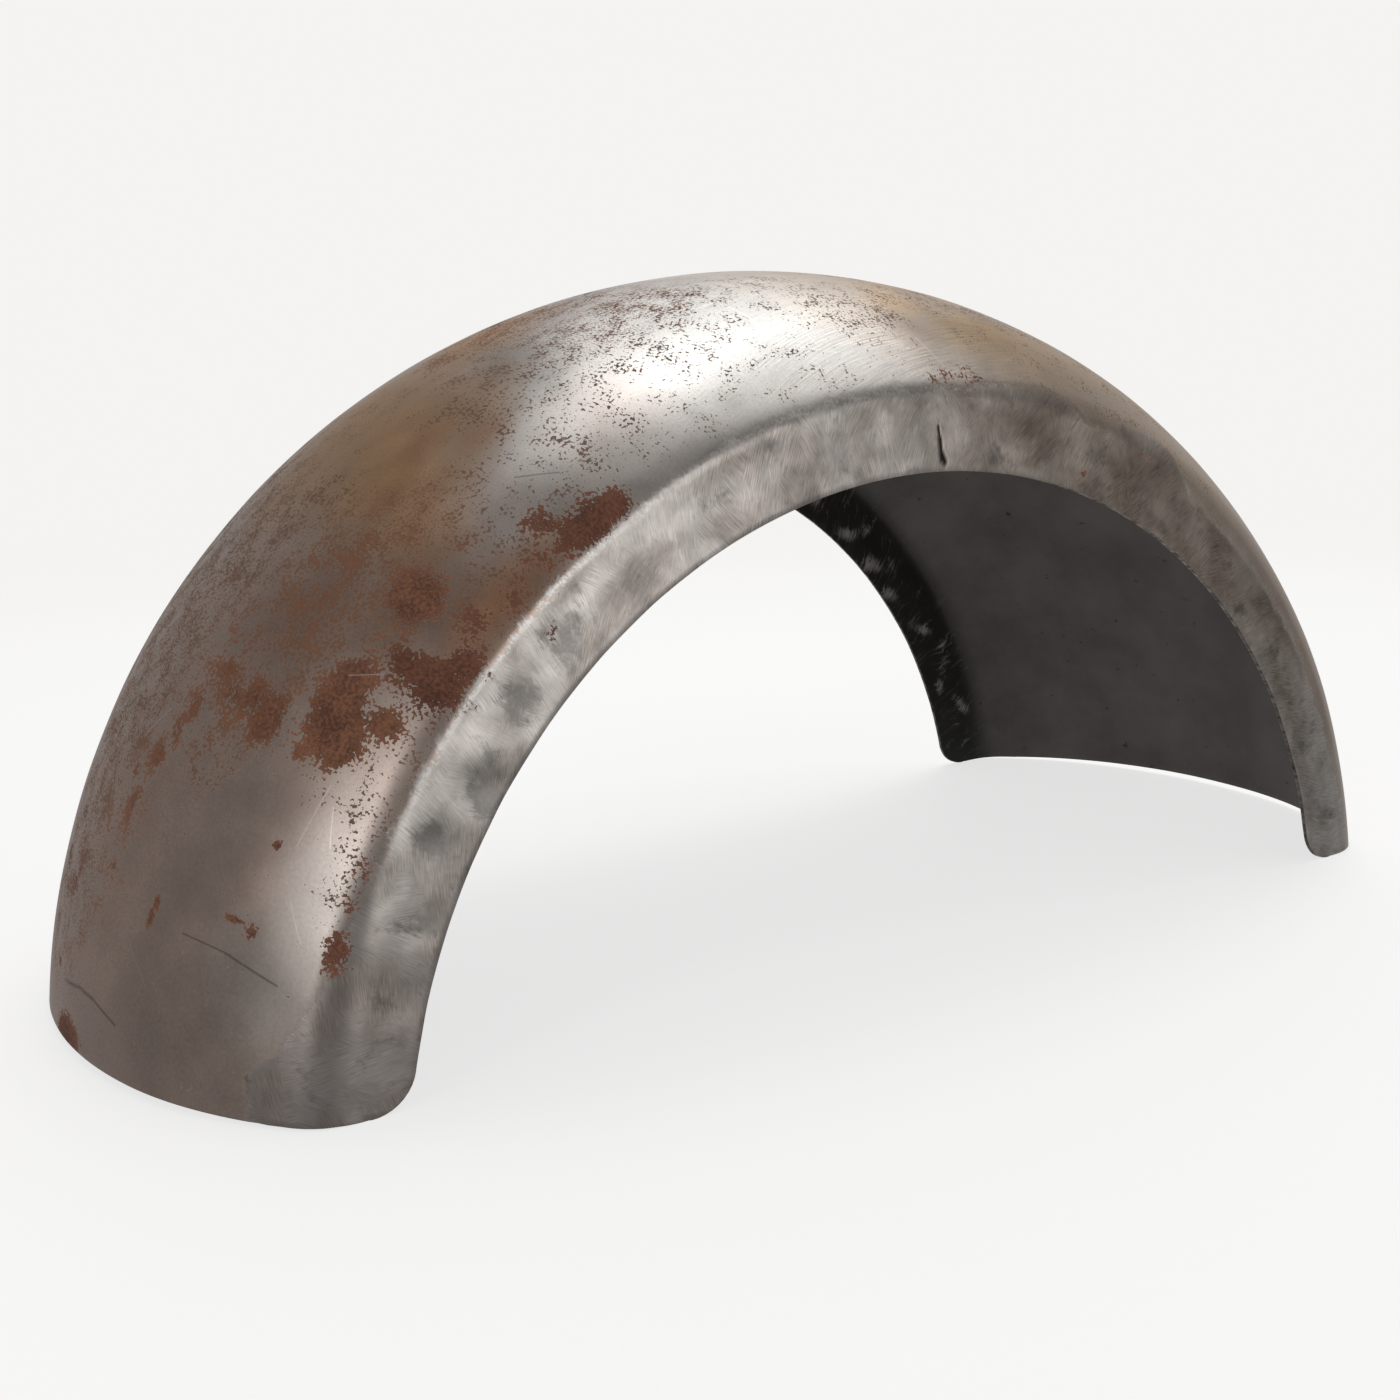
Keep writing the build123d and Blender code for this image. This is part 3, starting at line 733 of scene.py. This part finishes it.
# Black mill scale from the rolling mill, left on the inside: a dark grey skin with a dull sheen, blacker on the
# flanges, and rubbed through to grey steel there where a disc has touched it. Its strokes are drawn coarser than
# real ones so that they show.
SKIN_CLOUD, SKIN_PITS, SKIN_BEND = 60, 9, 30
tree = emptied(shell.data.materials[1])
place = put(tree, "ShaderNodeAttribute", attribute_name="sheet_mm").outputs["Vector"]
touched = put(tree, "ShaderNodeAttribute", attribute_name="touched").outputs["Fac"]
cloud = put(tree, "ShaderNodeTexNoise", {"Vector": place, "Scale": 1 / SKIN_CLOUD, "Detail": 5.0, "Roughness": 0.65},
            noise_dimensions="2D").outputs
ragged = put(tree, "ShaderNodeTexNoise", {"Vector": place, "Scale": 1 / SKIN_PITS, "Detail": 4.0, "Roughness": 0.65},
             noise_dimensions="2D").outputs[0]
bent = put(tree, "ShaderNodeVectorMath", {0: cloud[1], 1: (SKIN_BEND, SKIN_BEND, 0), 2: place},
           operation="MULTIPLY_ADD").outputs[0]
coarse = put(tree, "ShaderNodeVectorMath", {0: bent, "Scale": 0.35}, operation="SCALE").outputs[0]
stroke = put(tree, "ShaderNodeGroup", {"Place": coarse, "Turn": 0.5}, node_tree=strokes).outputs[0]
mottled = put(tree, "ShaderNodeMapRange", {0: cloud[0], 1: 0.3, 2: 0.7}).outputs[0]
dark = put(tree, "ShaderNodeMix", {0: mottled, 6: linear("#453f3d"), 7: linear("#56504d")},
           data_type="RGBA").outputs[2]
aside = put(tree, "ShaderNodeSeparateXYZ", {0: place}).outputs[1]
aside = put(tree, "ShaderNodeMath", {0: aside}, operation="ABSOLUTE").outputs[0]
edge_band = put(tree, "ShaderNodeMapRange", {0: aside, 1: 148.0, 2: 166.0}, **SOFT).outputs[0]
dark = put(tree, "ShaderNodeMix", {0: edge_band, 6: dark, 7: linear("#1d1b19")}, data_type="RGBA").outputs[2]
rubbed = put(tree, "ShaderNodeMath", {0: ragged, 1: 0.5, 2: touched}, operation="MULTIPLY_ADD").outputs[0]
rubbed = put(tree, "ShaderNodeMath", {0: stroke, 1: 1.6, 2: rubbed}, operation="MULTIPLY_ADD").outputs[0]
rubbed = put(tree, "ShaderNodeMapRange", {0: rubbed, 1: 1.25, 2: 2.0}).outputs[0]
rubbed = put(tree, "ShaderNodeMath", {0: rubbed, 1: edge_band}, operation="MULTIPLY").outputs[0]
dark = put(tree, "ShaderNodeMix", {0: rubbed, 6: dark, 7: linear("#98938d")}, data_type="RGBA").outputs[2]
worn = put(tree, "ShaderNodeMath", {0: rubbed, 1: 0.4}, operation="MULTIPLY").outputs[0]
pitted = put(tree, "ShaderNodeMapRange", {0: ragged, 1: 0.7, 2: 0.74}).outputs[0]
dark = put(tree, "ShaderNodeMix", {0: pitted, 6: dark, 7: linear("#2b2623")}, data_type="RGBA").outputs[2]
gloss = put(tree, "ShaderNodeMapRange", {0: cloud[0], 1: 0.3, 2: 0.7, 3: 0.42, 4: 0.52}).outputs[0]
relief = put(tree, "ShaderNodeMath", {0: ragged, 1: 0.02}, operation="MULTIPLY").outputs[0]
bumps = put(tree, "ShaderNodeBump", {"Height": relief, "Distance": 0.001, "Strength": 1.0}).outputs[0]
surface = put(tree, "ShaderNodeBsdfPrincipled",
              {"Base Color": dark, "Metallic": worn, "Roughness": gloss, "Normal": bumps})
put(tree, "ShaderNodeOutputMaterial", {"Surface": surface.outputs[0]})

# The cut edge, filed square and then broken with a file: bright lines with dark nicks.
NICK = 5
tree = emptied(shell.data.materials[2])
place = put(tree, "ShaderNodeAttribute", attribute_name="sheet_mm").outputs["Vector"]
nicks = put(tree, "ShaderNodeTexNoise", {"Vector": place, "Scale": 1 / NICK, "Detail": 4.0, "Roughness": 0.7},
            noise_dimensions="2D").outputs[0]
nicks = put(tree, "ShaderNodeMapRange", {0: nicks, 1: 0.35, 2: 0.65}).outputs[0]
dull = put(tree, "ShaderNodeMix", {0: nicks, 6: linear("#6f6862"), 7: linear("#b4ada6")}, data_type="RGBA").outputs[2]
rough = put(tree, "ShaderNodeMapRange", {0: nicks, 3: 0.55, 4: 0.35}).outputs[0]
relief = put(tree, "ShaderNodeMath", {0: nicks, 1: 0.03}, operation="MULTIPLY").outputs[0]
bumps = put(tree, "ShaderNodeBump", {"Height": relief, "Distance": 0.001, "Strength": 1.0}).outputs[0]
surface = put(tree, "ShaderNodeBsdfPrincipled",
              {"Base Color": dull, "Metallic": 1.0, "Roughness": rough, "Normal": bumps})
put(tree, "ShaderNodeOutputMaterial", {"Surface": surface.outputs[0]})

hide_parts("fender_shell")
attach(shell, "root")

# ------------------------------------------------------------
# The floor: a wide sheet of matt white paper that fades into the pale background.
# It is laid flat under the flange tips, and the metal mirrors the room instead of it.
# ------------------------------------------------------------
bpy.ops.object.select_all(action="DESELECT")
bpy.ops.mesh.primitive_circle_add(vertices=64, radius=4.0, fill_type="NGON", location=(0, 0, 0))
floor = bpy.context.object
floor.name = "floor"
floor.visible_glossy = False
FIBRE = 0.0025
FADE_START, FADE_STOP = 0.5, 2.0  # from the middle of the floor
paper = bpy.data.materials.new("paper_white_matt")
tree = emptied(paper)
spot = put(tree, "ShaderNodeTexCoord").outputs["Object"]
distance = put(tree, "ShaderNodeVectorMath", {0: spot}, operation="LENGTH").outputs["Value"]
faded = put(tree, "ShaderNodeMapRange", {0: distance, 1: FADE_START, 2: FADE_STOP}, **SOFT).outputs[0]
fibre = put(tree, "ShaderNodeTexNoise", {"Vector": spot, "Scale": 1 / FIBRE, "Detail": 3.0}).outputs[0]
white = put(tree, "ShaderNodeMix", {0: fibre, 6: linear("#a3a2a0"), 7: linear("#abaaa8")},
            data_type="RGBA").outputs[2]
lit = put(tree, "ShaderNodeBsdfPrincipled",
          {"Base Color": white, "Roughness": 0.9, "Emission Color": linear("#ffffff"), "Emission Strength": 0.72})
clear = put(tree, "ShaderNodeBsdfTransparent")
mixed = put(tree, "ShaderNodeMixShader", {0: faded, 1: lit.outputs[0], 2: clear.outputs[0]})
put(tree, "ShaderNodeOutputMaterial", {"Surface": mixed.outputs[0]})
floor.data.materials.append(paper)

# ------------------------------------------------------------
# The light: a dim room with a pale wall behind the shell, and round soft boxes about it.
# Each box stands where its highlight falls on the crown, the shoulder or the flange as on the real shell.
# ------------------------------------------------------------
def towards(turn, rise):
    """Gives the direction at an angle round from +X and up from the floor, in degrees."""
    turn, rise = radians(turn), radians(rise)
    return Vector((cos(rise) * cos(turn), cos(rise) * sin(turn), sin(rise)))


room = bpy.data.worlds.new("room")
bpy.context.scene.world = room
tree = emptied(room)
heading = put(tree, "ShaderNodeTexCoord").outputs["Generated"]
WALL, WALL_FOCUS, WALL_GLOW, ROOM_GLOW = towards(50, -6), 3.2, 0.47, 0.155
glow = put(tree, "ShaderNodeVectorMath", {0: heading, 1: WALL}, operation="DOT_PRODUCT").outputs["Value"]
glow = put(tree, "ShaderNodeMath", {0: glow, 1: WALL_FOCUS, 2: -WALL_FOCUS}, operation="MULTIPLY_ADD").outputs[0]
glow = put(tree, "ShaderNodeMath", {0: glow}, operation="EXPONENT").outputs[0]
glow = put(tree, "ShaderNodeMath", {0: glow, 1: WALL_GLOW, 2: ROOM_GLOW}, operation="MULTIPLY_ADD").outputs[0]
dim = put(tree, "ShaderNodeBackground", {"Color": linear("#ffffff"), "Strength": glow})
pale = put(tree, "ShaderNodeBackground", {"Color": linear("#f4f3f1"), "Strength": 1.0})
seen = put(tree, "ShaderNodeLightPath").outputs["Is Camera Ray"]
both = put(tree, "ShaderNodeMixShader", {0: seen, 1: dim.outputs[0], 2: pale.outputs[0]})
put(tree, "ShaderNodeOutputWorld", {"Surface": both.outputs[0]})

# Turn and rise of each box in degrees, the half angle that it fills, and its brightness.
BOX_DISTANCE = 5.0
LIT_PLACE = Vector((0, 0, 0.18))
SOFT_BOXES = (
    ("overhead", 59, 75.5, 11.1, 3.15),
    ("back", 55, 47, 16.4, 1.05),
    ("front_high", -24, 60, 16.0, 1.05),
    ("overhead_left", 135, 64, 18.0, 0.22),
    ("window", -154, 16.7, 14.0, 1.95),
    ("front_low", -76.5, 6.5, 19.8, 1.0),
    ("side_high", 25.5, 57.8, 11.0, 1.5),
)
for name, turn, rise, half_angle, brightness in SOFT_BOXES:
    lamp = bpy.data.lights.new(name, "AREA")
    lamp.shape = "DISK"
    reach = BOX_DISTANCE * tan(radians(half_angle))
    lamp.size = 2 * reach
    lamp.energy = brightness * pi * pi * reach**2
    box = bpy.data.objects.new(name, lamp)
    bpy.context.scene.collection.objects.link(box)
    box.location = LIT_PLACE + towards(turn, rise) * BOX_DISTANCE
    box.rotation_euler = towards(turn, rise).to_track_quat("Z", "Y").to_euler()
    box.visible_camera = False
bpy.context.scene.view_settings.view_transform = "Standard"

# ------------------------------------------------------------
# The camera: at the front left, a little lower than the crown, and leaning slightly to one side.
# Its place, turns and lens come from the outline of the real shell.
# ------------------------------------------------------------
CAMERA_PLACE = (-0.45882, -0.68701, 0.25702)
yaw, pitch, roll = -0.55968, 0.19028, -0.03536
ahead = Vector((-sin(yaw) * cos(pitch), cos(yaw) * cos(pitch), -sin(pitch)))
level = ahead.cross(Vector((0, 0, 1))).normalized()
upright = level.cross(ahead)
level, upright = cos(roll) * level + sin(roll) * upright, cos(roll) * upright - sin(roll) * level
lens = bpy.data.cameras.new("camera")
lens.sensor_width = 36.0
lens.lens = 43.43
camera = bpy.data.objects.new("camera", lens)
bpy.context.scene.collection.objects.link(camera)
facing = Matrix((level, upright, -ahead)).transposed().to_4x4()
camera.matrix_world = Matrix.Translation(CAMERA_PLACE) @ facing
bpy.context.scene.camera = camera
